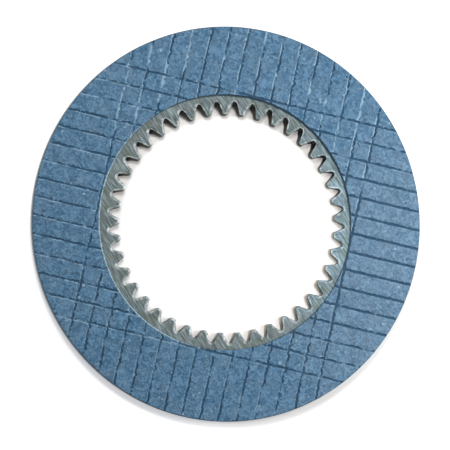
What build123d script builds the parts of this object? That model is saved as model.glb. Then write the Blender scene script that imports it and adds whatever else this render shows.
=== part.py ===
from build123d import *
from math import acos, cos, pi, radians, sin, tan
import os

# Wet clutch friction disc: a steel core plate with an internal involute spline, and a grooved
# friction facing bonded to each side. Lengths in mm, angles in degrees.
# The spline axis is Z. The rear facing's face lies on Z = 0, and the front facing looks along +Z.

# Internal spline of the core plate. The three factors are in modules, as spline proportions are.
tooth_count = 41
spline_module = 2.5
pressure_angle = 20.0
addendum_factor = 0.9          # from the pitch circle in to the tooth tips
form_factor = 1.15             # from the pitch circle out to where the flanks end
tip_fillet_factor = 0.48
first_tooth_angle = -1.4       # from +X to the middle of a tooth

# Core plate
core_diameter = 178.0
core_thickness = 3.4
rim_chamfer = 0.2

# Friction facings
facing_thickness = 0.8
root_margin = 3.0              # bare steel between the spline's roots and a facing, on average
rim_margin = 0.25              # bare steel between a facing and the plate's rim
bore_offset_x = -0.9           # a facing's inner edge lies a little off the spline axis
bore_offset_y = 0.6

# Grooves that carry oil across a facing, in two crossing families
groove_count = 15              # in each family
groove_pitch = 8.3
groove_width = 0.85
groove_depth = 0.5
grid_offset_x = -1.3           # from the spline axis to the middle of the groove grid
grid_offset_y = 0.6

# Worked out from the dimensions above
pitch_radius = spline_module * tooth_count / 2
base_radius = pitch_radius * cos(radians(pressure_angle))
tip_radius = pitch_radius - addendum_factor * spline_module
form_radius = pitch_radius + form_factor * spline_module
core_radius = core_diameter / 2
facing_radius = core_radius - rim_margin
core_bottom = facing_thickness
core_top = core_bottom + core_thickness
disc_thickness = core_top + facing_thickness

flank_points = 5               # through which each involute flank is drawn


def involute(angle):
    """The involute function of an angle in radians."""
    return tan(angle) - angle


def flank_point(radius):
    """Where a flank of the tooth gap on the X axis crosses a radius, on its +Y side."""
    half_pitch_gap = pi / (2 * tooth_count)
    half_gap = half_pitch_gap + involute(radians(pressure_angle)) - involute(acos(base_radius / radius))
    return Vector(radius * cos(half_gap), radius * sin(half_gap))


# The gap between two teeth. It opens inwards, past the tip circle, as far as the base circle,
# and its root is one full round between the flanks.
with BuildSketch() as tooth_gap:
    with BuildLine():
        flank_step = (form_radius - base_radius) / (flank_points - 1)
        upper_flank = Spline([flank_point(base_radius + i * flank_step) for i in range(flank_points)])
        lower_flank = mirror(upper_flank, about=Plane.XZ)
        root_round = TangentArc(upper_flank @ 1, lower_flank @ 1, tangent=upper_flank % 1)
        Line(upper_flank @ 0, lower_flank @ 0)
    make_face()
root_radius = (root_round @ 0.5).X

# The whole face of the core plate, teeth included
with BuildSketch() as core_face:
    Circle(core_radius)
    Circle(tip_radius, mode=Mode.SUBTRACT)
    first_gap_angle = first_tooth_angle + 180 / tooth_count
    with PolarLocations(0, tooth_count, start_angle=first_gap_angle):
        add(tooth_gap.sketch, mode=Mode.SUBTRACT)
    tooth_corners = core_face.vertices().filter_by(lambda corner: corner.center().length < pitch_radius)
    fillet(tooth_corners, radius=tip_fillet_factor * spline_module)

with BuildPart() as core_plate:
    with BuildSketch(Plane.XY.offset(core_bottom)):
        add(core_face.sketch)
    extrude(amount=core_thickness)
    rims = core_plate.edges().filter_by(GeomType.CIRCLE).sort_by(SortBy.RADIUS)[-2:]
    chamfer(rims, length=rim_chamfer)

# A facing's ring and its grooves, seen from the front
with BuildSketch() as facing_ring:
    Circle(facing_radius)
    with Locations((bore_offset_x, bore_offset_y)):
        Circle(root_radius + root_margin, mode=Mode.SUBTRACT)

with BuildSketch() as grooves:
    groove_length = core_diameter
    with Locations((grid_offset_x, grid_offset_y)):
        with GridLocations(groove_pitch, 0, groove_count, 1):
            Rectangle(groove_width, groove_length)
        with GridLocations(0, groove_pitch, 1, groove_count):
            Rectangle(groove_length, groove_width)

with BuildPart() as front_facing:
    with BuildSketch(Plane.XY.offset(core_top)):
        add(facing_ring.sketch)
    extrude(amount=facing_thickness)
    with BuildSketch(Plane.XY.offset(disc_thickness - groove_depth)):
        add(grooves.sketch)
    extrude(amount=groove_depth, mode=Mode.SUBTRACT)

with BuildPart() as rear_facing:
    with BuildSketch():
        add(facing_ring.sketch)
    extrude(amount=facing_thickness)
    with BuildSketch():
        add(grooves.sketch)
    extrude(amount=groove_depth, mode=Mode.SUBTRACT)

core_plate.part.label = "core_plate"
front_facing.part.label = "front_facing"
rear_facing.part.label = "rear_facing"

os.makedirs("parts", exist_ok=True)
export_step(core_plate.part, "parts/core_plate.step")
export_step(front_facing.part, "parts/front_facing.step")
export_step(rear_facing.part, "parts/rear_facing.step")
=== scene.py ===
import bmesh
import bpy
from collections import namedtuple
from math import acos, atan2, ceil, cos, hypot, pi, radians, sin, sqrt, tan
from mathutils import Matrix, Vector, noise


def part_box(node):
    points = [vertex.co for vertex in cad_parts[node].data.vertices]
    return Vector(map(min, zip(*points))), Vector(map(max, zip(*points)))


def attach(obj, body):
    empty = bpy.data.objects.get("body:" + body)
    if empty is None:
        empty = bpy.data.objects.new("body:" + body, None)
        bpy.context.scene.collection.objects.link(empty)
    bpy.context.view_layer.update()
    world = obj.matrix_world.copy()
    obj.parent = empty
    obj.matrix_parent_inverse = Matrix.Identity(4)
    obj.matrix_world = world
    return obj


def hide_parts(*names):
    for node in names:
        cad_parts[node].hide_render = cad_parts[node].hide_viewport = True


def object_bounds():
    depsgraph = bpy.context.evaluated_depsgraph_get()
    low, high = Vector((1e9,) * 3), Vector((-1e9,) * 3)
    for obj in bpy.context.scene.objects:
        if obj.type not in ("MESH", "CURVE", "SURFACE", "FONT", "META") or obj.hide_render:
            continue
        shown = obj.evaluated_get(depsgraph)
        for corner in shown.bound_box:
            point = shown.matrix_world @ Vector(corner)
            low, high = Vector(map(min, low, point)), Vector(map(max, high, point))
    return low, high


# A wet clutch friction disc, lying flat with its front facing up. Metres, in the frame of the CAD model:
# the spline axis is Z, and the grooves run along X and Y.

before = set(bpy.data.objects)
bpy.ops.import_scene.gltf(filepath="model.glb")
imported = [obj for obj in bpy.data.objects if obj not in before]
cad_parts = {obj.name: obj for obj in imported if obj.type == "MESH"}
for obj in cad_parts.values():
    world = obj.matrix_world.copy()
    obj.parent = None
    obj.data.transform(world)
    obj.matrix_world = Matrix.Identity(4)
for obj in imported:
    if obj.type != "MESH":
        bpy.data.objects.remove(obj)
cad_low, cad_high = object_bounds()

MM = 0.001
PHOTO_PIXELS = 450

# The internal spline, as on the CAD model
TOOTH_COUNT = 41
MODULE = 2.5 * MM
PRESSURE_ANGLE = radians(20)
ADDENDUM_FACTOR = 0.9
FORM_FACTOR = 1.15
TIP_FILLET_FACTOR = 0.48
PITCH_RADIUS = MODULE * TOOTH_COUNT / 2
BASE_RADIUS = PITCH_RADIUS * cos(PRESSURE_ANGLE)
TIP_RADIUS = PITCH_RADIUS - ADDENDUM_FACTOR * MODULE
FORM_RADIUS = PITCH_RADIUS + FORM_FACTOR * MODULE      # where the flanks end and the roots' rounds begin
TIP_FILLET = TIP_FILLET_FACTOR * MODULE
FIRST_TOOTH_ANGLE = radians(-1.4)
CORE_RADIUS = 89 * MM

# The friction facings, as on the CAD model
FACING_INNER_RADIUS = 57.6 * MM
GROOVE_COUNT = 15
GROOVE_PITCH = 8.3 * MM
GROOVE_WIDTH = 0.85 * MM
GROOVE_DEPTH = 0.5 * MM
GROOVE_MIDDLE = Vector((-1.3 * MM, 0.6 * MM))
BORE_MIDDLE = Vector((-0.9 * MM, 0.6 * MM))    # of the facings' inner edges

# The camera looks almost straight down, from a little to the left
CAMERA_PLACE = Vector((-436, -187, 2400)) * MM
CAMERA_AIM = Vector((-1.04, -0.78, 5)) * MM
GROOVE_LEAN = radians(12.88)       # from the picture's horizontal down to the grooves along X
FOCAL_LENGTH_PIXELS = 5427
SENSOR_WIDTH = 36.0
NEAR_CLIP = 0.01

FLOOR_SIZE = 4.0


def picture_direction(degrees, elevation=0.0):
    """The direction of a place in the picture, anticlockwise from its right, at an elevation."""
    turn = radians(degrees) + GROOVE_LEAN
    rise = radians(elevation)
    return Vector((cos(turn) * cos(rise), sin(turn) * cos(rise), sin(rise)))


# ---------------------------------------------------------------- meshes

MERGE_DISTANCE = 0.0005 * MM


def new_object(name, vertices, faces, smooth=True):
    """An object made of the given vertices and faces, linked to the scene."""
    mesh = bpy.data.meshes.new(name)
    mesh.from_pydata(vertices, [], faces)
    mesh.validate()
    mesh.polygons.foreach_set("use_smooth", [smooth] * len(mesh.polygons))
    made = bpy.data.objects.new(name, mesh)
    bpy.context.scene.collection.objects.link(made)
    return made


def add_attributes(made, **values):
    """Numbers kept at an object's vertices, for its material to read."""
    for name, numbers in values.items():
        attribute = made.data.attributes.new(name, "FLOAT", "POINT")
        attribute.data.foreach_set("value", numbers)


def close_back(made):
    """Merges an open ring's doubled vertices and closes its back with one flat band from border to border."""
    mesh = bmesh.new()
    mesh.from_mesh(made.data)
    bmesh.ops.remove_doubles(mesh, verts=mesh.verts, dist=MERGE_DISTANCE)
    bmesh.ops.bridge_loops(mesh, edges=[edge for edge in mesh.edges if edge.is_boundary])
    mesh.to_mesh(made.data)
    mesh.free()


def even_steps(start, end, largest_step):
    """Places from start to end, end left out, no more than largest_step apart."""
    count = max(1, ceil((end - start) / largest_step))
    return [start + (end - start) * i / count for i in range(count)]


def smooth_step(low, high, value):
    """0 up to low, 1 from high on, and a smooth rise between them."""
    t = min(1.0, max(0.0, (value - low) / (high - low)))
    return t * t * (3 - 2 * t)


# ---------------------------------------------------------------- friction facings

# Places of the mesh lines across a groove, in groove widths from its middle
GROOVE_LINES = (-1.15, -0.92, -0.72, -0.55, -0.4, -0.22, -0.05, 0.12, 0.28, 0.44, 0.62, 0.85)
LAND_STEP = 0.66 * MM              # the widest space between mesh lines on the lands
LAND_DROP = 0.035 * MM             # of the lands below the raised lips of the grooves
LAND_SWELL = 0.6                   # how much that drop varies, as a share of it
SWELL_LENGTH = 2.2 * MM
ALONG_X_WANDER = 0.6               # how far the grooves along X wander, as a share of those along Y
ALONG_X_SEED = 31
CROSSING_STEPS = 20                # halvings to find where a mesh line crosses a border
EDGE_PROFILE = ((0.0, 0.0), (0.07, 0.015), (0.13, 0.06), (0.16, 0.14))   # mm outward and down a worn edge
EDGE_WIDTH = EDGE_PROFILE[-1][0] * MM
EDGE_LIP = 0.7                     # how much of a groove's pale lip is left on the worn edge
RIM_LIP = 0.3                      # how pale the facings' outer walls are
FRAY = 0.05                        # mm that the worn edges are frayed back by, at most
FRAY_LENGTH = 0.9 * MM
LIT_WALL_PALENESS = 0.9                # painted highlight: how pale the inner edges are where they face the side lamp the most

# Sides of the disc, each with the cosines of the angle from it between which its effect rises from 0 to 1
LIT_EDGE_SIDE = picture_direction(195).xy     # where the facings' inner edges face the side lamp and get a painted highlight
LIT_EDGE_RANGE = (0.3, 0.7)
CLEAR_SIDE = picture_direction(350).xy         # where the grooves are widest and cleanest
CLEAR_RANGE = (0.7, 1.0)
DUST_AND_HIGHLIGHT_SIDE = picture_direction(80).xy          # where those along Y get the most pale dust and the most painted highlight on their lips
DUST_AND_HIGHLIGHT_RANGE = (-0.2, 0.8)
DUST_AND_HIGHLIGHT_X_RANGE = (0.0, 0.8)                     # for those along X, from the side where the inner edges get a painted highlight

# Noises along a groove: the length of a wave in mm, the shift from groove to groove, and a seed of its own
SLOW_NOISE = (9, 3.7, 9)
MIDDLING_NOISE = (3.2, 5.3, 17)
ROUGH_NOISE = (1.1, 7.1, 0)
DASH_NOISE = (1.7, 2.9, 61)
CLOG_NOISE = (16, 4.9, 71)
BREAK_NOISE = (2.3, 6.1, 83)
LIFT_NOISE = (4.5, 9.1, 43)

# Values of those noises between which their effect rises from 0 to 1
DASH_RANGE = (-0.2, 0.15)
CLOG_RANGE = (0.02, 0.25)
BREAK_RANGE = (-0.42, -0.24)
LIFT_RANGE = (-0.25, 0.15)

# Distances from a groove's middle, in widths of the groove
CUT_FADE = (0.25, 0.68)            # from the cut's full depth to none
LIP_START = (0.3, 0.5)
LIP_END = (0.85, 1.15)
DUST_FADE = (0.25, 0.6)
DUST_SHIFT = 0.15                  # of the dust toward the lip


def mesh_lines(middle, low, high):
    """Places of a facing's mesh lines along one axis: close together at the grooves, wider on the lands."""
    lines = []
    last = low
    for k in range(GROOVE_COUNT):
        groove = middle + (k - GROOVE_COUNT // 2) * GROOVE_PITCH
        lines += even_steps(last, groove + GROOVE_LINES[0] * GROOVE_WIDTH, LAND_STEP)
        lines += [groove + place * GROOVE_WIDTH for place in GROOVE_LINES[:-1]]
        last = groove + GROOVE_LINES[-1] * GROOVE_WIDTH
    return lines + even_steps(last, high, LAND_STEP) + [high]


def nearest_groove(place, middle):
    """The number of the groove nearest to a place on one axis, and the distance from that groove's middle."""
    k = round((place - middle) / GROOVE_PITCH)
    k = max(-(GROOVE_COUNT // 2), min(GROOVE_COUNT // 2, k))
    return k, place - middle - k * GROOVE_PITCH


def groove_wear(x, y):
    """How clean the grooves are at a place, and how much pale dust and painted highlight on their lips those
    along Y and along X get, from 0 to 1.
    """
    heading = Vector((x, y)).normalized()
    clean = smooth_step(*CLEAR_RANGE, heading.dot(CLEAR_SIDE))
    dust_and_highlight_y = 0.35 + 0.65 * smooth_step(*DUST_AND_HIGHLIGHT_RANGE, heading.dot(DUST_AND_HIGHLIGHT_SIDE))
    dust_and_highlight_x = 0.2 + 0.55 * smooth_step(*DUST_AND_HIGHLIGHT_X_RANGE, heading.dot(LIT_EDGE_SIDE))
    return clean, dust_and_highlight_y, dust_and_highlight_x


def groove_noise(kind, along, k, seed):
    """One of the noises above at a distance along groove number k, from about -1 to 1."""
    length, shift, own_seed = kind
    return noise.noise(Vector((along / (length * MM), k * shift, seed + own_seed)))


def groove_shape(across, along, k, seed, clean, lip_share):
    """At a point near a groove: its cut, and its pale mark (the lip's painted highlight on the side toward
    the lamps, and pale dust), from 0 to 1, and how far its line wanders.
    """
    slow = groove_noise(SLOW_NOISE, along, k, seed)
    middling = groove_noise(MIDDLING_NOISE, along, k, seed)
    rough = groove_noise(ROUGH_NOISE, along, k, seed)
    dashes = smooth_step(*DASH_RANGE, groove_noise(DASH_NOISE, along, k, seed))
    clogged = lip_share * smooth_step(*CLOG_RANGE, groove_noise(CLOG_NOISE, along, k, seed))
    unbroken = max(clean, smooth_step(*BREAK_RANGE, groove_noise(BREAK_NOISE, along, k, seed)))
    lifted = smooth_step(*LIFT_RANGE, groove_noise(LIFT_NOISE, along, k, seed) + 0.35 * rough)

    wander = (0.25 * slow + 0.5 * middling + 0.8 * rough) * (1 - 0.5 * clean) * MM
    reach = across / (GROOVE_WIDTH * (0.95 + 0.25 * clean + 0.4 * rough + 0.2 * slow))
    depth = min(1.0, max(0.2, 0.78 + 0.3 * clean + 1.0 * slow + 0.6 * middling + 0.9 * rough))
    depth *= 1 - 0.8 * clogged
    depth *= 0.25 + 0.75 * unbroken
    cut = depth * (1 - smooth_step(*CUT_FADE, abs(reach)))
    # the pale lip is on one side only, the wall that faces the lamps: a painted highlight
    lip = smooth_step(*LIP_START, -reach) * (1 - smooth_step(*LIP_END, -reach)) * lifted * lip_share
    dust = clogged * dashes * (1 - smooth_step(*DUST_FADE, abs(reach + DUST_SHIFT)))
    return cut, max(lip, dust), wander


class FacingMesh:
    """A facing's mesh while it's built: its faces, and its vertices with a groove and a lip value each."""

    def __init__(self, node, seed):
        low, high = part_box(node)
        self.seed = seed
        self.up = 1 if low.z > cad_low.z + MM else -1
        self.face_z, self.back_z = (high.z, low.z) if self.up > 0 else (low.z, high.z)
        self.middle = middle = (low.xy + high.xy) / 2
        self.outer = outer = (high.x - low.x) / 2
        self.xs = mesh_lines(GROOVE_MIDDLE.x, middle.x - outer - MM, middle.x + outer + MM)
        self.ys = mesh_lines(GROOVE_MIDDLE.y, middle.y - outer - MM, middle.y + outer + MM)
        self.faces = []
        self.vertices = []
        self.grooves = []
        self.lips = []
        self.found = {}

    def is_flat(self, x, y):
        """Whether a place is on the flat part of the ring, inside its worn edges."""
        from_rim = self.outer - hypot(x - self.middle.x, y - self.middle.y)
        from_bore = hypot(x - BORE_MIDDLE.x, y - BORE_MIDDLE.y) - FACING_INNER_RADIUS
        return min(from_rim, from_bore) - EDGE_WIDTH > 0

    def add_vertex(self, place, groove, lip):
        """Adds a vertex and gives its number."""
        self.vertices.append(place)
        self.grooves.append(groove)
        self.lips.append(lip)
        return len(self.vertices) - 1

    def vertex(self, key, x, y):
        """The number of the vertex with this key, made where the face is at x, y if it's new."""
        if key in self.found:
            return self.found[key]
        kx, dx = nearest_groove(x, GROOVE_MIDDLE.x)
        ky, dy = nearest_groove(y, GROOVE_MIDDLE.y)
        clean, dust_and_highlight_y, dust_and_highlight_x = groove_wear(x, y)
        cut_x, lip_x, wander_x = groove_shape(dx, y, kx, self.seed, clean, dust_and_highlight_y)
        cut_y, lip_y, wander_y = groove_shape(dy, x, ky, self.seed + ALONG_X_SEED, clean, dust_and_highlight_x)
        cut = max(cut_x, cut_y)
        lip = max(lip_x * (1 - cut_y), lip_y * (1 - cut_x))
        x += wander_x * max(0.0, 1 - abs(dx) / (GROOVE_PITCH / 2))
        y += ALONG_X_WANDER * wander_y * max(0.0, 1 - abs(dy) / (GROOVE_PITCH / 2))
        swell = noise.noise(Vector((x / SWELL_LENGTH, y / SWELL_LENGTH, self.seed))) * LAND_SWELL * LAND_DROP
        drop = (LAND_DROP + swell) * (1 - lip) + cut * (GROOVE_DEPTH - 2 * LAND_DROP)
        self.found[key] = self.add_vertex((x, y, self.face_z - self.up * drop), cut, lip)
        return self.found[key]

    def crossing(self, start, end):
        """The vertex where the mesh line between two grid points crosses the flat part's border."""
        (i, j), (i2, j2) = sorted((start, end))
        starts_flat = self.is_flat(self.xs[i], self.ys[j])
        low, high = 0.0, 1.0
        for _ in range(CROSSING_STEPS):
            t = (low + high) / 2
            x = self.xs[i] + (self.xs[i2] - self.xs[i]) * t
            y = self.ys[j] + (self.ys[j2] - self.ys[j]) * t
            if self.is_flat(x, y) == starts_flat:
                low = t
            else:
                high = t
        return self.vertex((i, j, i2, j2), x, y)

    def add_flat_part(self):
        """Adds the faces of the grooved flat part, cut off along its two borders."""
        flat = [[self.is_flat(x, y) for y in self.ys] for x in self.xs]
        for i in range(len(self.xs) - 1):
            for j in range(len(self.ys) - 1):
                corners = ((i, j), (i + 1, j), (i + 1, j + 1), (i, j + 1))
                if not any(flat[a][b] for a, b in corners):
                    continue
                face = []
                for (a, b), (c, d) in zip(corners, corners[1:] + corners[:1]):
                    if flat[a][b]:
                        face.append(self.vertex((a, b), self.xs[a], self.ys[b]))
                    if flat[a][b] != flat[c][d]:
                        face.append(self.crossing((a, b), (c, d)))
                if len(set(face)) > 2:
                    self.faces.append(face)

    def edge_chain(self, v):
        """Vertices from one on the flat part's border, over the worn edge and straight down to the plate."""
        x, y, z = self.vertices[v]
        at_rim = hypot(x, y) > (self.outer + FACING_INNER_RADIUS) / 2
        centre = self.middle if at_rim else BORE_MIDDLE
        sign = 1 if at_rim else -1
        base = self.outer - EDGE_WIDTH if at_rim else FACING_INNER_RADIUS + EDGE_WIDTH
        outward = (Vector((x, y)) - centre).normalized()
        fray = min(0.0, FRAY * noise.noise(Vector((x, y, self.seed * MM)) / FRAY_LENGTH))
        # the inner wall gets a painted highlight where it faces the side lamp, on the left of the disc
        worn = smooth_step(*LIT_EDGE_RANGE, outward.dot(LIT_EDGE_SIDE))
        pale = 0.0 if at_rim else LIT_WALL_PALENESS * worn
        groove, lip = self.grooves[v] * (1 - pale), max(pale, self.lips[v] * EDGE_LIP)
        chain = [v]
        for out, down in EDGE_PROFILE[1:]:
            reached = centre + outward * (base + sign * (out + fray) * MM)
            chain.append(self.add_vertex((*reached, z - self.up * down * MM), groove, lip))
        # down the inner wall the paper goes to the grooves' dark, painted shade in the corner by the plate,
        # except where the wall has its painted highlight
        groove, lip = (0.0, RIM_LIP) if at_rim else (1.0 - pale, pale)
        chain.append(self.add_vertex((*reached, self.back_z), groove, lip))
        return chain

    def add_edges(self):
        """Adds the faces over the worn edges and down to the plate, from the flat part's two borders."""
        uses = {(a, b) for face in self.faces for a, b in zip(face, face[1:] + face[:1])}
        border = [(a, b) for a, b in uses if (b, a) not in uses]
        chains = {v: self.edge_chain(v) for v in {v for edge in border for v in edge}}
        for a, b in border:
            for step in range(len(EDGE_PROFILE)):
                upper = [chains[b][step], chains[a][step]]
                lower = [chains[a][step + 1], chains[b][step + 1]]
                self.faces.append(upper + lower)


def facing_ring(name, node, seed):
    """A friction facing in place of a CAD facing: uneven grooves, a faintly rough face and worn edges."""
    mesh = FacingMesh(node, seed)
    mesh.add_flat_part()
    mesh.add_edges()
    faces = mesh.faces if mesh.up > 0 else [face[::-1] for face in mesh.faces]
    ring = new_object(name, mesh.vertices, faces)
    add_attributes(ring, groove=mesh.grooves, lip=mesh.lips)
    close_back(ring)
    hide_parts(node)
    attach(ring, "root")
    return ring


# ---------------------------------------------------------------- core plate

TIP_STEPS = 3
ARC_STEPS = 5
FLANK_STEPS = 7
EDGE_STEPS = 4
RIM_ROLL = 0.2 * MM                # how far the rim's two edges are rounded
RIM_BAND = 0.15 * MM               # the narrow band of the plate's front face beside that
BURR_ROLL = 0.06 * MM              # how far the hole's front edge is rounded where the metal broke away
DRAWN_ROLL = 0.55 * MM             # and how much more on the opposite side, where it was drawn down
REAR_ROLL = 0.3 * MM
EDGE_BAND = 0.4 * MM               # the band of the front face beside the hole's edge: burnished, with a painted glint where it faces the lamps
SET_BACK = 0.3 * MM                # of the hole's front edge, where the metal broke away
ROOT_SET_BACK = 0.2 * MM           # more of it at the roots of the gaps
STAND_OUT = 0.38 * MM              # of the wall's sheared rear part
TIP_STAND_OUT = 0.6 * MM           # more of it at the tips of the lower right teeth
ROOT_STAND_OUT = 0.55 * MM         # more of it at the roots of the top gaps
ROOT_FILL = 0.85 * MM              # how much shallower the gaps are, apart from those at the top
TORN_LENGTH = 1.1 * MM             # of the unevenness along the broken edge
TIP_ZONE = (TIP_RADIUS + 0.6 * MM, TIP_RADIUS + 2 * MM)
PLATE_RADII = (56.2 * MM, 57.4 * MM)           # of the mesh lines across the plate's two faces

# Picture directions, each with the cosines of the angle from it between which its effect rises from 0 to 1
BROKEN_SIDE = picture_direction(205).xy        # the way that the walls with the most break-out face
BROKEN_RANGE = (-0.35, 0.5)
DEEPEST_SIDE = picture_direction(95).xy        # where along the hole the break-out is deepest
DEEPEST_RANGE = (-0.2, 0.8)
SOUND_SIDE = picture_direction(8).xy           # and where it's shallowest
SOUND_RANGE = (0.75, 0.97)
FLARED_SIDE = picture_direction(315).xy        # where the tips stand out the furthest
FLARED_RANGE = (0.5, 0.95)
LIT_SIDE = picture_direction(20).xy            # the way that the edges with the most painted glint face, toward the side lamp
LIT_RANGE = (0.3, 0.85)
ACROSS_RANGE = (-0.2, 0.5)                     # for being on the hole's other side from there

# Down the wall between its two rounded edges: the shares of the set-back, of the stand-out and of the height
WALL_STEPS = ((0.6, 0, 0.22), (0, 0.6, 0.45), (0, 1, 0.6))

# A place on the hole's outline: the way into the metal there, what stamping left of the edge, and how much
# painted glint it gets
EdgePlace = namedtuple("EdgePlace", "place inward broken set_back stand_out polish")

# A ring of points down the hole's wall: shares of the set-back, of the stand-out and of the front edge's
# rounding (into the metal, then down), a fixed distance into the metal, the height, and how torn the wall is
WallRing = namedtuple("WallRing", "back out roll_in roll_down depth z torn")


def involute(angle):
    """The involute function of an angle."""
    return tan(angle) - angle


def half_gap(radius):
    """Half the angle of a tooth gap at a radius."""
    return pi / (2 * TOOTH_COUNT) + involute(PRESSURE_ANGLE) - involute(acos(BASE_RADIUS / radius))


def polar(radius, angle):
    """The point at a radius and an angle."""
    return Vector((cos(angle), sin(angle))) * radius


def half_gap_outline():
    """Points of half a tooth gap beside the X axis, from the middle of a tooth tip to the gap's root."""
    fillet_radius = TIP_RADIUS + TIP_FILLET
    fillet_reach = sqrt(fillet_radius ** 2 - BASE_RADIUS ** 2)
    fillet_angle = half_gap(fillet_radius) + TIP_FILLET / BASE_RADIUS
    tip_angle = pi / TOOTH_COUNT
    tip_span = fillet_angle - tip_angle
    points = [polar(TIP_RADIUS, tip_angle + tip_span * i / TIP_STEPS) for i in range(TIP_STEPS)]

    centre = polar(fillet_radius, fillet_angle)
    contact_radius = hypot(BASE_RADIUS, fillet_reach - TIP_FILLET)
    contact = polar(contact_radius, half_gap(contact_radius))
    start = (-centre).angle_signed(contact - centre)
    for i in range(ARC_STEPS):
        turned = (-centre).normalized() * TIP_FILLET
        turned.rotate(Matrix.Rotation(-start * i / ARC_STEPS, 2))
        points.append(centre + turned)

    for i in range(FLANK_STEPS):
        radius = contact_radius + (FORM_RADIUS - contact_radius) * i / FLANK_STEPS
        points.append(polar(radius, half_gap(radius)))

    angle = half_gap(FORM_RADIUS)
    flank_end = polar(FORM_RADIUS, angle)
    lean = angle - acos(BASE_RADIUS / FORM_RADIUS)
    normal = Vector((-sin(lean), cos(lean)))
    root_round = flank_end.y / normal.y
    root_centre = flank_end - normal * root_round
    first = atan2(normal.y, normal.x)
    points += [root_centre + polar(root_round, first * (1 - i / ARC_STEPS)) for i in range(ARC_STEPS + 1)]
    return points


def hole_outline():
    """Points of the splined hole, once round, anticlockwise."""
    half = half_gap_outline()
    gap = [Vector((p.x, -p.y)) for p in half[:-1]] + half[:0:-1]
    points = []
    for k in range(TOOTH_COUNT):
        turn = FIRST_TOOTH_ANGLE + (2 * k + 1) * pi / TOOTH_COUNT
        for p in gap:
            turned = p.copy()
            turned.rotate(Matrix.Rotation(turn, 2))
            points.append(turned)
    return points


def at_the_top(point):
    """How near a point of the hole's outline is to where the break-out is deepest, from 0 to 1."""
    return smooth_step(*DEEPEST_RANGE, point.normalized().dot(DEEPEST_SIDE))


def shallower(point):
    """A point of the hole's outline, moved in so that the gaps away from the top are shallower."""
    depth_share = (point.length - TIP_RADIUS) / (FORM_RADIUS - TIP_RADIUS)
    fill = ROOT_FILL * depth_share * (1 - at_the_top(point))
    return point * (1 - fill / point.length)


def edge_place(place, along):
    """What stamping left of the hole's edge at a place on its outline, which runs along a direction there,
    and the edge's painted glint.
    """
    inward = Vector((along.y, -along.x)).normalized()
    heading = place.normalized()
    rough = noise.noise(Vector((*place, 0)) / TORN_LENGTH)
    at_top = at_the_top(place)
    at_root = smooth_step(PITCH_RADIUS, FORM_RADIUS, place.length)
    at_tip = 1 - smooth_step(*TIP_ZONE, place.length)
    tapered = 1 - smooth_step(TIP_RADIUS, FORM_RADIUS, place.length)
    kept = 1 - 0.4 * smooth_step(*SOUND_RANGE, heading.dot(SOUND_SIDE))

    broken = smooth_step(*BROKEN_RANGE, -inward.dot(BROKEN_SIDE)) * (0.8 + 0.55 * at_top + 0.25 * rough)
    set_back = (SET_BACK + ROOT_SET_BACK * at_root) * broken * kept
    stand_out = STAND_OUT * (1 - 0.4 * at_tip) + ROOT_STAND_OUT * at_root * at_top
    stand_out += TIP_STAND_OUT * tapered * smooth_step(*FLARED_RANGE, heading.dot(FLARED_SIDE))
    stand_out = stand_out * broken * kept
    # edges that face the side lamp, across the hole from it, get a painted glint, most at the tooth tips
    faces_light = smooth_step(*LIT_RANGE, -inward.dot(LIT_SIDE))
    across_hole = smooth_step(*ACROSS_RANGE, -heading.dot(LIT_SIDE))
    polish = faces_light * (0.45 + 0.55 * at_tip) * across_hole
    return EdgePlace(place, inward, broken, set_back, stand_out, polish)


def quarter_turn():
    """(sine, cosine) of the angles at which the points of a rounded edge lie."""
    turns = [pi / 2 * i / EDGE_STEPS for i in range(EDGE_STEPS + 1)]
    return [(sin(turn), cos(turn)) for turn in turns]


def rim_rings(top, bottom):
    """(distance into the metal, height) of each ring of points down the plate's rim."""
    rings = [(RIM_ROLL + RIM_BAND, top)]
    rings += [(RIM_ROLL * (1 - s), top - RIM_ROLL * (1 - c)) for s, c in quarter_turn()]
    rings += [(RIM_ROLL * (1 - c), bottom + RIM_ROLL * (1 - s)) for s, c in quarter_turn()]
    return rings


def wall_rings(top, bottom):
    """The rings of points from the front face's burnished band down the hole's wall to the rear face."""
    height = top - bottom
    rings = [WallRing(1, 0, 1, 0, EDGE_BAND * 2, top, 0.0), WallRing(1, 0, 1, 0, EDGE_BAND, top, 0.0)]
    for i, (s, c) in enumerate(quarter_turn()):
        rings.append(WallRing(1, 0, 1 - s, 1 - c, 0.0, top, i / EDGE_STEPS))
    for back, out, down in WALL_STEPS:
        rings.append(WallRing(back, out, 0, 0, 0.0, top - down * height, 1.0))
    for s, c in quarter_turn():
        rings.append(WallRing(0, 1, 0, 0, REAR_ROLL * (1 - c), bottom + REAR_ROLL * (1 - s), 1.0))
    return rings


def stitch(ring_count, count):
    """Faces between rings of count vertices each, and from the last ring back to the first."""
    faces = []
    for ring in range(ring_count):
        here, there = ring * count, (ring + 1) % ring_count * count
        for i in range(count):
            j = (i + 1) % count
            faces.append((here + i, here + j, there + j, there + i))
    return faces


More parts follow.
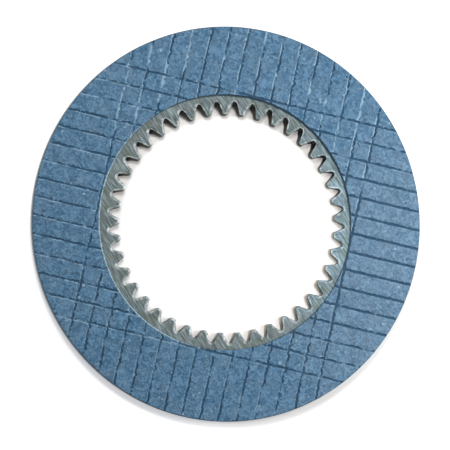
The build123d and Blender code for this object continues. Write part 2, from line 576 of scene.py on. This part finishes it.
def core_plate():
    """The steel plate in place of the CAD plate, with the broken and rounded edges that stamping leaves."""
    low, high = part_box("core_plate")
    outer_radius = (high.x - low.x) / 2
    outline = [shallower(point) for point in hole_outline()]
    count = len(outline)
    places = [edge_place(point, outline[(i + 1) % count] - outline[i - 1]) for i, point in enumerate(outline)]
    vertices, torn, edges = [], [], []
    for number, ring in enumerate(wall_rings(high.z, low.z)):
        # the burnished band, with its painted glint, goes from the second ring to the last but one of the
        # front edge's rounding
        on_edge = 0 < number < EDGE_STEPS + 2
        for edge in places:
            roll = BURR_ROLL + DRAWN_ROLL * max(0.0, 1 - edge.broken)
            move = ring.back * edge.set_back - ring.out * edge.stand_out + ring.roll_in * roll + ring.depth
            vertices.append((*(edge.place + edge.inward * move), ring.z - ring.roll_down * roll))
            torn.append(ring.torn * min(1.0, edge.broken))
            edges.append((0.3 + 0.7 * edge.polish) * on_edge)
    rings = [(radius, low.z) for radius in PLATE_RADII]
    rings += [(outer_radius - depth, z) for depth, z in reversed(rim_rings(high.z, low.z))]
    rings += [(radius, high.z) for radius in reversed(PLATE_RADII)]
    for radius, z in rings:
        vertices.extend((*(point.normalized() * radius), z) for point in outline)
        torn.extend([0.0] * count)
        edges.extend([0.0] * count)
    plate = new_object("core_plate_metal", vertices, stitch(len(vertices) // count, count))
    add_attributes(plate, torn=torn, edge=edges)
    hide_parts("core_plate")
    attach(plate, "root")
    return plate


# ---------------------------------------------------------------- materials

class Nodes:
    """Short calls for building a material's or the world's nodes."""

    def __init__(self, tree):
        self.tree = tree
        tree.nodes.clear()

    def add(self, kind, inputs=None, **settings):
        """A node with the given settings, and its inputs linked to sockets or set to values."""
        node = self.tree.nodes.new(kind)
        for key, value in settings.items():
            setattr(node, key, value)
        for key, value in (inputs or {}).items():
            if isinstance(value, bpy.types.NodeSocket):
                self.tree.links.new(value, node.inputs[key])
            else:
                node.inputs[key].default_value = value
        return node

    def place(self):
        """The place of the surface in the frame of the object."""
        return self.add("ShaderNodeTexCoord").outputs["Object"]

    def attribute(self, name):
        """A number kept at the mesh's vertices."""
        return self.add("ShaderNodeAttribute", attribute_name=name).outputs["Fac"]

    def math(self, operation, a, b=0.0, clamp=False):
        """The result of an operation on one or two numbers."""
        return self.add("ShaderNodeMath", {0: a, 1: b}, operation=operation, use_clamp=clamp).outputs[0]

    def times(self, a, b):
        """The product of two numbers."""
        return self.math("MULTIPLY", a, b)

    def vector(self, operation, a, b=(0, 0, 0), output="Vector"):
        """The result of an operation on one or two vectors; the output is "Value" where it's a number."""
        return self.add("ShaderNodeVectorMath", {0: a, 1: b}, operation=operation).outputs[output]

    def noise(self, vector, scale, detail, roughness, distortion=0.0):
        """Noise from 0 to 1 with an average of a half; the scale is in waves to the metre."""
        node = self.add("ShaderNodeTexNoise", {"Vector": vector, "Scale": scale, "Detail": detail,
                                               "Roughness": roughness, "Distortion": distortion})
        return node.outputs["Fac"]

    def ramp(self, value, *stops):
        """A colour ramp; each stop is (place, grey) or (place, (r, g, b))."""
        node = self.add("ShaderNodeValToRGB", {"Fac": value})
        elements = node.color_ramp.elements
        while len(elements) < len(stops):
            elements.new(0.5)
        for element, (place, colour) in zip(elements, stops):
            element.position = place
            element.color = (*((colour,) * 3 if isinstance(colour, float) else colour), 1)
        return node.outputs["Color"]

    def mix(self, factor, a, b, blend="MIX"):
        """Colour a where the factor is 0 and colour b where it's 1; each is a socket or (r, g, b)."""
        node = self.add("ShaderNodeMix", data_type="RGBA", blend_type=blend)
        for socket, value in ((node.inputs["Factor"], factor), (node.inputs[6], a), (node.inputs[7], b)):
            if isinstance(value, bpy.types.NodeSocket):
                self.tree.links.new(value, socket)
            elif isinstance(value, tuple):
                socket.default_value = (*value, 1)
            else:
                socket.default_value = value
        return node.outputs[2]

    def rise(self, value, low, high):
        """0 up to low and 1 from high on."""
        return self.add("ShaderNodeMapRange", {0: value, 1: low, 2: high}).outputs[0]

    def fall(self, value, low, high):
        """1 up to low and 0 from high on."""
        return self.math("SUBTRACT", 1.0, self.rise(value, low, high))

    def streaks(self, place, turn, scale, distortion):
        """Noise drawn out along one direction of the face."""
        turned = self.add("ShaderNodeMapping", {"Vector": place, "Rotation": (0, 0, turn)}).outputs[0]
        drawn_out = self.add("ShaderNodeMapping", {"Vector": turned, "Scale": scale}).outputs[0]
        return self.noise(drawn_out, 1.0, 3, 0.6, distortion)

    def from_bore(self, place):
        """The level vector to a place from the middle of the facings' inner edges."""
        return self.vector("MULTIPLY", self.vector("SUBTRACT", place, (*BORE_MIDDLE, 0)), (1, 1, 0))

    def bore_distance(self, place):
        """The level distance to a place from the middle of the facings' inner edges."""
        return self.vector("LENGTH", self.from_bore(place), output="Value")

    def side(self, place, degrees, low, high):
        """0 to 1 toward the side in a picture direction; low and high are cosines of the angle to it."""
        heading = self.vector("NORMALIZE", self.from_bore(place))
        toward = self.vector("DOT_PRODUCT", heading, picture_direction(degrees), output="Value")
        return self.ramp(toward, (low, 0.0), (high, 1.0))

    def seen(self):
        """1 for the camera's rays and for those that a gloss or glass sends on, 0 for the rest."""
        rays = self.add("ShaderNodeLightPath").outputs
        sent_on = self.math("MAXIMUM", rays["Is Glossy Ray"], rays["Is Transmission Ray"])
        return self.math("MAXIMUM", rays["Is Camera Ray"], sent_on)


def new_material(name):
    """A material with an empty node tree, and the calls that fill it."""
    material = bpy.data.materials.new(name)
    material.use_nodes = True
    return material, Nodes(material.node_tree)


# ---------------------------------------------------------------- friction paper

PAPER_DARK = (0.026, 0.095, 0.178)
PAPER_BLUE = (0.052, 0.149, 0.261)
PAPER_PALE = (0.104, 0.225, 0.356)
PAPER_GREY = (0.112, 0.190, 0.272)
COIL_PALE = (0.27, 0.41, 0.53)
SPECK_PALE = (0.34, 0.50, 0.63)
PIT_DARK = (0.030, 0.075, 0.130)
# painted sheen toward the right, where the side lamp is
PAINTED_SHEEN_GREY = (0.36, 0.37, 0.36)
# painted highlight on the groove lips, and the colour of pale dust
LIP_HIGHLIGHT_PALE = (0.33, 0.50, 0.63)
# painted shade in the grooves, with oil
GROOVE_SHADE_AND_OIL = (0.005, 0.044, 0.094)
# painted highlight on the facing's inner edge at the left
LIT_EDGE_PALE = (0.42, 0.56, 0.62)
SPECK_JITTER = 1.6 * MM            # that makes the specks' outlines uneven
LIT_EDGE_FADE = (FACING_INNER_RADIUS + 0.35 * MM, FACING_INNER_RADIUS + 0.6 * MM)    # of the painted highlight on the inner edge


def paper_flecks(n, place):
    """The paper's pale curled fibres, pale specks and dark pits, each 0 beside them and 1 on them."""
    coils = n.math("ABSOLUTE", n.math("SUBTRACT", n.noise(place, 520, 1.5, 0.5, 1.0), 0.5))
    coils = n.ramp(coils, (0.0, 1.0), (0.035, 0.0))
    coils = n.times(coils, n.ramp(n.noise(place, 300, 2, 0.5), (0.47, 0.0), (0.6, 1.0)))
    jitter = n.add("ShaderNodeTexNoise", {"Vector": place, "Scale": 900.0, "Detail": 2.0}).outputs["Color"]
    jittered = n.vector("ADD", place, n.vector("MULTIPLY", jitter, (SPECK_JITTER,) * 3))
    cells = n.add("ShaderNodeTexVoronoi", {"Vector": jittered, "Scale": 230.0}, feature="F1")
    speck_size = n.ramp(n.noise(place, 150, 1, 0.5), (0.42, 0.0), (0.7, 0.15))
    specks = n.ramp(n.math("SUBTRACT", cells.outputs["Distance"], speck_size), (0.0, 1.0), (0.05, 0.0))
    pits = n.ramp(n.noise(place, 700, 2, 0.5), (0.26, 1.0), (0.36, 0.0))
    return coils, specks, pits


def lit_paper_edge(n, place, mottle):
    """1 where the facing's inner edge gets a painted highlight, on the left of the disc, where it faces the
    side lamp.
    """
    band = n.fall(n.bore_distance(place), *LIT_EDGE_FADE)
    # share of the painted highlight along the inner edge, on the left
    worn = n.times(band, n.side(place, 195, 0.35, 0.8))
    return n.times(worn, n.ramp(mottle, (0.35, 0.5), (0.55, 0.95)))


def friction_paper():
    """Blue resin-soaked paper: matted fibres, pale specks, dark pits, groove lips with a painted highlight,
    pale dust, grooves with painted shade and oil, a painted sheen toward the right and a painted highlight on
    the inner edge at the left.
    """
    material, n = new_material("friction_paper")
    place = n.place()
    clouds = n.noise(place, 160, 3, 0.6)
    mottle = n.noise(place, 480, 2.2, 0.45, 1.2)
    grain = n.noise(place, 1600, 3, 0.6)
    coils, specks, pits = paper_flecks(n, place)

    colour = n.ramp(mottle, (0.35, PAPER_DARK), (0.5, PAPER_BLUE), (0.65, PAPER_PALE))
    colour = n.mix(n.ramp(clouds, (0.4, 0.0), (0.68, 0.4)), colour, PAPER_GREY)
    colour = n.mix(n.times(coils, 0.5), colour, COIL_PALE)
    colour = n.mix(n.times(specks, 0.55), colour, SPECK_PALE)
    colour = n.mix(n.times(pits, 0.5), colour, PIT_DARK)
    # painted sheen: the paper is a little paler and greyer toward the right, where the side lamp is
    colour = n.mix(n.times(n.side(place, 345, 0.55, 0.9), 0.09), colour, PAINTED_SHEEN_GREY)
    # painted highlight on the groove lips that face the lamps, with pale dust, in patches
    lip_patches = n.ramp(n.noise(place, 420, 3, 0.6), (0.3, 0.35), (0.6, 0.9))
    colour = n.mix(n.times(n.attribute("lip"), lip_patches), colour, LIP_HIGHLIGHT_PALE)
    # the grooves are darkened: painted shade in the recesses, with oil
    colour = n.mix(n.ramp(n.attribute("groove"), (0.10, 0.0), (0.42, 0.95)), colour, GROOVE_SHADE_AND_OIL)
    # painted highlight on the facing's inner edge at the left, where it faces the side lamp
    colour = n.mix(lit_paper_edge(n, place, mottle), colour, LIT_EDGE_PALE)

    height = n.math("ADD", n.times(mottle, 0.8), n.times(grain, 0.06))
    height = n.math("ADD", height, n.times(coils, 0.15))
    height = n.math("SUBTRACT", height, n.times(pits, 0.35))
    bump = n.add("ShaderNodeBump", {"Height": height, "Strength": 1.0, "Distance": 0.8 * MM})
    shader = n.add("ShaderNodeBsdfPrincipled", {"Base Color": colour, "Roughness": 0.62,
                                                "Specular IOR Level": 0.38, "Normal": bump.outputs[0]})
    n.add("ShaderNodeOutputMaterial", {"Surface": shader.outputs[0]})
    return material


# ---------------------------------------------------------------- core steel

GRIND_LIE = radians(43.5)          # of the scratches on the faces
GROUND_DARK = (0.028, 0.046, 0.048)
GROUND_GREY = (0.090, 0.127, 0.132)
GROUND_PALE = (0.265, 0.335, 0.355)
SCRATCH_DARK = (0.030, 0.048, 0.050)
SCRATCH_PALE = (0.215, 0.275, 0.285)
OIL_OLIVE = (0.092, 0.108, 0.075)
OIL_VIOLET = (0.180, 0.190, 0.240)
WALL_DARK = (0.10, 0.115, 0.11)
WALL_PALE = (0.36, 0.40, 0.41)
# painted light: the plate's rim wall is made pale all round
RIM_PAINTED_LIGHT = (0.55, 0.60, 0.63)
RIM_REACH = (70 * MM, 75 * MM)     # between the hole's wall and the rim's
# pale steel of the burnished band, and of the painted glint on edges facing the side lamp
BURNISH_AND_GLINT_PALE = (0.60, 0.64, 0.65)
BLUE_CAST = (1.12, 1.28, 1.42)     # a factor on the right of the disc, where it mirrors a bluer light
# the broken-out walls' colours hold painted shade: dark, lighter toward the floor, black at the roots, with a
# painted pale bounce of light at the lower right
TORN_SHADE_HIGH = (0.030, 0.032, 0.028)
TORN_SHADE_LOW = (0.055, 0.048, 0.036)
BOUNCE_LIT_HIGH = (0.075, 0.078, 0.064)
BOUNCE_LIT_LOW = (0.80, 0.73, 0.62)
ROOT_SHADE_HIGH = (0.003, 0.004, 0.004)
ROOT_SHADE_LOW = (0.004, 0.004, 0.004)
ROOT_SHADE_REACH = (51.0 * MM, 53.2 * MM)        # painted shade: the torn wall is black from here out, at the roots of the gaps
TORN_HEIGHTS = (2.1 * MM, 3.9 * MM)        # between the torn wall's low and high colours; the low part is painted lighter, as if lit from the floor
# painted shadow of the front facing on the steel along its inner edge
FACING_SHADOW_DARK = (0.006, 0.020, 0.034)
FACING_SHADOW_EDGE = (FACING_INNER_RADIUS - 0.4 * MM, FACING_INNER_RADIUS - 0.1 * MM)
FACING_SHADOW_WOBBLE = 1.2 * MM
FACING_SHADOW_SPREAD = 0.7 * MM            # how much wider it is at the upper right
ROUGH_STEEL = (0.48, 0.48, 0.48)
SMOOTH_STEEL = (0.28, 0.28, 0.28)


def shaded_torn_wall(n, place):
    """The colour of the broken-out wall, with painted shade: black at the roots, lighter toward the floor,
    and a painted pale bounce of light at the lower right.
    """
    bounce_lit = n.side(place, 312, 0.1, 0.8)
    less_root_shade = n.math("SUBTRACT", 1.0, n.times(bounce_lit, 0.5))
    root_shade = n.times(n.rise(n.bore_distance(place), *ROOT_SHADE_REACH), less_root_shade)
    low = n.mix(root_shade, n.mix(bounce_lit, TORN_SHADE_LOW, BOUNCE_LIT_LOW), ROOT_SHADE_LOW)
    high = n.mix(root_shade, n.mix(bounce_lit, TORN_SHADE_HIGH, BOUNCE_LIT_HIGH), ROOT_SHADE_HIGH)
    z = n.add("ShaderNodeSeparateXYZ", {"Vector": place}).outputs["Z"]
    return n.mix(n.fall(z, *TORN_HEIGHTS), high, low)


def burnish_and_glint_edge(n, blotches):
    """How pale and smooth the band beside the hole's edge is: some burnishing all round, and a painted glint
    where the edge faces the side lamp, most at the tooth tips.
    """
    edge = n.attribute("edge")
    all_round = n.times(n.rise(edge, 0.0, 0.3), n.ramp(blotches, (0.46, 0.0), (0.62, 0.5)))
    # the painted glint, on edges that face the side lamp
    drawn = n.times(n.rise(edge, 0.35, 1.0), n.ramp(blotches, (0.36, 0.3), (0.56, 1.0)))
    return n.math("ADD", all_round, drawn, clamp=True)


def painted_facing_shadow(n, place, blotches):
    """The painted shadow of the front facing on the steel along its inner edge, darkest and widest at the
    upper right.
    """
    side = n.side(place, 55, 0.3, 0.9)
    wobble = n.times(n.math("SUBTRACT", blotches, 0.5), FACING_SHADOW_WOBBLE)
    reach = n.math("ADD", n.math("ADD", n.bore_distance(place), wobble), n.times(side, FACING_SHADOW_SPREAD))
    return n.times(n.rise(reach, *FACING_SHADOW_EDGE), n.math("ADD", 0.4, n.times(side, 0.6)))


def core_steel():
    """Ground steel: scratches one way, oil tints, burnishing and a painted glint at the hole's edges, a rim
    wall painted pale, torn walls with painted shade, and a painted shadow along the facing.
    """
    material, n = new_material("core_steel")
    place = n.place()
    fine = n.streaks(place, GRIND_LIE, (220, 3400, 1), 0.2)
    coarse = n.streaks(place, GRIND_LIE, (110, 1250, 1), 0.3)
    tints = n.streaks(place, GRIND_LIE, (160, 420, 1), 0.5)
    clouds = n.noise(place, 210, 4, 0.6)
    blotches = n.noise(place, 420, 3, 0.6)
    normal = n.add("ShaderNodeNewGeometry").outputs["Normal"]
    upright = n.math("ABSOLUTE", n.add("ShaderNodeSeparateXYZ", {"Vector": normal}).outputs["Z"])

    colour = n.ramp(coarse, (0.40, GROUND_DARK), (0.5, GROUND_GREY), (0.60, GROUND_PALE))
    colour = n.mix(0.45, colour, n.ramp(fine, (0.40, SCRATCH_DARK), (0.60, SCRATCH_PALE)))
    colour = n.mix(n.ramp(clouds, (0.42, 0.0), (0.66, 0.6)), colour, OIL_OLIVE)
    colour = n.mix(n.ramp(tints, (0.5, 0.0), (0.72, 0.5)), colour, OIL_VIOLET)
    # burnishing and a painted glint on the hole's edges
    burnish_and_glint = burnish_and_glint_edge(n, blotches)
    colour = n.mix(burnish_and_glint, colour, BURNISH_AND_GLINT_PALE)
    wall_steel = n.mix(n.ramp(blotches, (0.4, 0.0), (0.6, 1.0)), WALL_DARK, WALL_PALE)
    # the rim wall is painted pale: painted light on a wall that the lamps leave in shade at the lower left
    wall_steel = n.mix(n.rise(n.bore_distance(place), *RIM_REACH), wall_steel, RIM_PAINTED_LIGHT)
    colour = n.mix(n.ramp(upright, (0.55, 1.0), (0.85, 0.0)), colour, wall_steel)
    colour = n.mix(n.side(place, 355, 0.5, 0.95), colour, BLUE_CAST, "MULTIPLY")
    # the broken-out walls take their painted shade
    colour = n.mix(n.ramp(n.attribute("torn"), (0.15, 0.0), (0.6, 1.0)), colour, shaded_torn_wall(n, place))
    # painted shadow of the front facing's inner edge on the steel
    colour = n.mix(painted_facing_shadow(n, place, blotches), colour, FACING_SHADOW_DARK)

    roughness = n.mix(burnish_and_glint, ROUGH_STEEL, SMOOTH_STEEL)
    height = n.math("ADD", n.times(fine, 0.6), coarse)
    bump = n.add("ShaderNodeBump", {"Height": height, "Strength": 0.6, "Distance": 0.12 * MM})
    shader = n.add("ShaderNodeBsdfPrincipled", {"Base Color": colour, "Roughness": roughness, "Metallic": 0.2,
                                                "Specular IOR Level": 0.3, "Normal": bump.outputs[0]})
    n.add("ShaderNodeOutputMaterial", {"Surface": shader.outputs[0]})
    return material


# ---------------------------------------------------------------- floor, lamps and camera

FLOOR_WHITE = (0.95, 0.94, 0.92)
FLOOR_SHADED = (0.68, 0.66, 0.62)          # round the tooth tips and gaps at the top, as the camera sees it
FLOOR_UNSEEN = (0.5, 0.5, 0.5)             # for the light that the floor sends back to the disc
TIPS_REACH = (47.0 * MM, 49.2 * MM)        # from here out the floor is shaded
UNDER_PLATE_REACH = (60 * MM, 70 * MM)     # and from here out it isn't
GLOW_HOLE = (0.4, 0.4, 0.4)
GLOW_HOLE_DARK = (0.08, 0.08, 0.09)
GLOW_HOLE_PALE = (0.35, 0.34, 0.33)
HOLE_REACH = (37 * MM, 47 * MM)            # between the glow of the hole's middle and that at the tooth tips
GLOW_RIM = (0.46, 0.47, 0.49)
GLOW_RIM_SHADOW = (0.0, 0.0, 0.0)
UNDER_RIM_REACH = (CORE_RADIUS - 20 * MM, CORE_RADIUS)
GLOW_WHITE = (1.0, 1.0, 1.0)
BACKDROP_REACH = (0.15, 0.6)
WORLD_LEVEL = 0.16

# Each lamp: its name, the picture direction and elevation it shines from, distance, size and power in watts
LAMPS = (("key", 105, 60, 0.55, 0.16, 1.75), ("side", -5, 45, 0.26, 0.15, 0.50))


def white_floor():
    """A white floor that keeps the disc's shadow, with a glow that makes it pure white away from the disc."""
    material, n = new_material("white_floor")
    place = n.place()
    reach = n.vector("LENGTH", place, output="Value")
    seen = n.seen()
    shaded = n.times(n.side(place, 100, 0.0, 0.45), n.rise(reach, *TIPS_REACH))
    shaded = n.times(shaded, n.fall(reach, *UNDER_PLATE_REACH))
    colour = n.mix(seen, FLOOR_UNSEEN, n.mix(shaded, FLOOR_WHITE, FLOOR_SHADED))
    shader = n.add("ShaderNodeBsdfPrincipled", {"Base Color": colour, "Roughness": 1.0,
                                                "Specular IOR Level": 0.0})
    at_tips = n.mix(n.side(place, 348, 0.0, 0.85), GLOW_HOLE_DARK, GLOW_HOLE_PALE)
    in_hole = n.mix(n.rise(reach, *HOLE_REACH), GLOW_HOLE, at_tips)
    at_rim = n.mix(n.side(place, 320, 0.6, 0.95), GLOW_RIM, GLOW_RIM_SHADOW)
    tint = n.mix(n.rise(reach, *UNDER_RIM_REACH), in_hole, at_rim)
    tint = n.mix(n.rise(reach, *BACKDROP_REACH), tint, GLOW_WHITE)
    glow = n.add("ShaderNodeEmission", {"Color": tint, "Strength": seen})
    both = n.add("ShaderNodeAddShader", {0: shader.outputs[0], 1: glow.outputs[0]})
    n.add("ShaderNodeOutputMaterial", {"Surface": both.outputs[0]})
    return material


def add_floor():
    """The floor that the disc lies on."""
    half = FLOOR_SIZE / 2
    corners = [(-half, -half, 0), (half, -half, 0), (half, half, 0), (-half, half, 0)]
    floor = new_object("floor", corners, [(0, 1, 2, 3)], smooth=False)
    floor.data.materials.append(white_floor())


def add_world():
    """Even white light from all round, which the camera sees as white."""
    world = bpy.data.worlds.new("studio")
    world.use_nodes = True
    n = Nodes(world.node_tree)
    level = n.math("ADD", n.times(n.seen(), 1 - WORLD_LEVEL), WORLD_LEVEL)
    background = n.add("ShaderNodeBackground", {"Color": (1, 1, 1, 1), "Strength": level})
    n.add("ShaderNodeOutputWorld", {"Surface": background.outputs[0]})
    bpy.context.scene.world = world


def add_lamp(name, degrees, elevation, distance, size, power):
    """A square lamp that faces the disc."""
    direction = picture_direction(degrees, elevation)
    data = bpy.data.lights.new(name, "AREA")
    data.size = size
    data.energy = power
    lamp = bpy.data.objects.new(name, data)
    lamp.location = direction * distance
    lamp.rotation_mode = "QUATERNION"
    lamp.rotation_quaternion = (-direction).to_track_quat("-Z", "Y")
    bpy.context.scene.collection.objects.link(lamp)


def add_camera():
    """The camera at the picture's view."""
    data = bpy.data.cameras.new("camera")
    data.sensor_width = SENSOR_WIDTH
    data.lens = FOCAL_LENGTH_PIXELS / PHOTO_PIXELS * SENSOR_WIDTH
    data.clip_start = NEAR_CLIP
    camera = bpy.data.objects.new("camera", data)
    forward = (CAMERA_AIM - CAMERA_PLACE).normalized()
    picture_up = Vector((-sin(GROOVE_LEAN), cos(GROOVE_LEAN), 0))
    right = forward.cross(picture_up).normalized()
    up = right.cross(forward)
    turned = Matrix((right, up, -forward)).transposed().to_4x4()
    camera.matrix_world = Matrix.Translation(CAMERA_PLACE) @ turned
    bpy.context.scene.collection.objects.link(camera)
    bpy.context.scene.camera = camera


# ---------------------------------------------------------------- scene

# The name of each facing's piece, its CAD node and its seed
FACINGS = (("front_facing_paper", "front_facing", 0.0), ("rear_facing_paper", "rear_facing", 57.0))

paper = friction_paper()
steel = core_steel()
plate = core_plate()
plate.data.materials.append(steel)
for ring_name, node_name, seed in FACINGS:
    ring = facing_ring(ring_name, node_name, seed)
    ring.data.materials.append(paper)
for node_name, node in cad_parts.items():
    node.data.materials.clear()
    node.data.materials.append(steel if node_name == "core_plate" else paper)

add_floor()
add_world()
for lamp_values in LAMPS:
    add_lamp(*lamp_values)
add_camera()
bpy.context.scene.view_settings.view_transform = "Standard"
